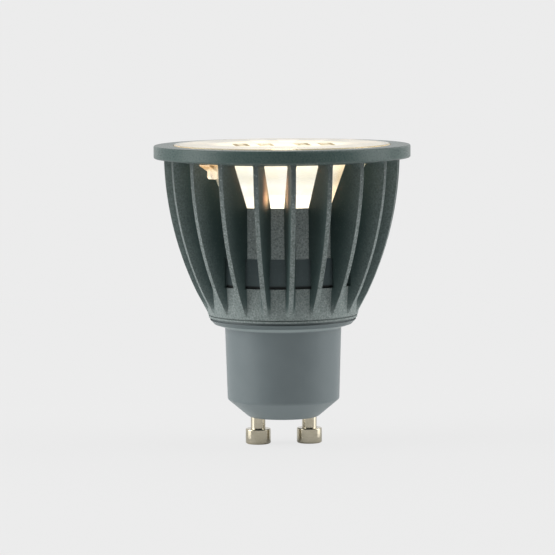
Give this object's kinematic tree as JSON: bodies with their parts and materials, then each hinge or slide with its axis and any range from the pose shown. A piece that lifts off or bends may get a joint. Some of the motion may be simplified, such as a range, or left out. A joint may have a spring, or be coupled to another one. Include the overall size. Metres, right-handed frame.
{
  "type": "gu10 spotlight bulb",
  "caption": "Reflector-shaped spotlight lamp with a finned die-cast body, a clear flat lens and a two-pin twist-lock cap.",
  "frame": {"origin": "on the lamp's axis, in the plane of the contact pins' tips", "axes": "+Z along the lamp's axis towards the lens; the two contact pins lie on the X axis"},
  "size_m": [0.0496, 0.0496, 0.0583],
  "materials": {
    "cast_body": "fine sand-textured dark green-grey paint on die-cast aluminium",
    "clear_lens": "clear moulded plastic, polished",
    "soft_pad": "soft filled silicone",
    "white_board": "white solder mask on an aluminium core",
    "emitter_carrier": "white ceramic",
    "phosphor": "yellow phosphor in silicone",
    "screw_steel": "zinc-plated steel",
    "cap_plastic": "satin moulded blue-grey plastic",
    "pin_nickel": "nickel-plated, satin turned",
    "circuit_board": "green solder mask",
    "capacitor_sleeve": "shrunk black sleeve",
    "film_box": "moulded yellow box",
    "resistor_coat": "blue-green coating",
    "ferrite": "sintered ferrite",
    "winding_tape": "polyester tape over copper wire",
    "chip_resin": "moulded resin",
    "lead_white": "silicone sleeve",
    "lead_black": "silicone sleeve",
    "lead_red": "silicone sleeve"
  },
  "bodies": {
    "root": {"heatsink": "cast_body", "lens": "clear_lens", "thermal_pad": "soft_pad", "light_board": "white_board", "emitter_base": "emitter_carrier", "phosphor": "phosphor", "board_screws": "screw_steel", "cap_screws": "screw_steel", "base_cap": "cap_plastic", "contact_pin_left": "pin_nickel", "contact_pin_right": "pin_nickel", "driver_board": "circuit_board", "smoothing_capacitor": "capacitor_sleeve", "output_capacitor": "capacitor_sleeve", "film_capacitor": "film_box", "fuse_resistor": "resistor_coat", "filter_choke": "ferrite", "transformer_core": "ferrite", "transformer_winding": "winding_tape", "driver_chip": "chip_resin", "bridge_rectifier": "chip_resin", "mains_lead_left": "lead_white", "mains_lead_right": "lead_white", "light_lead_left": "lead_black", "light_lead_right": "lead_red"}
  },
  "joints": []
}
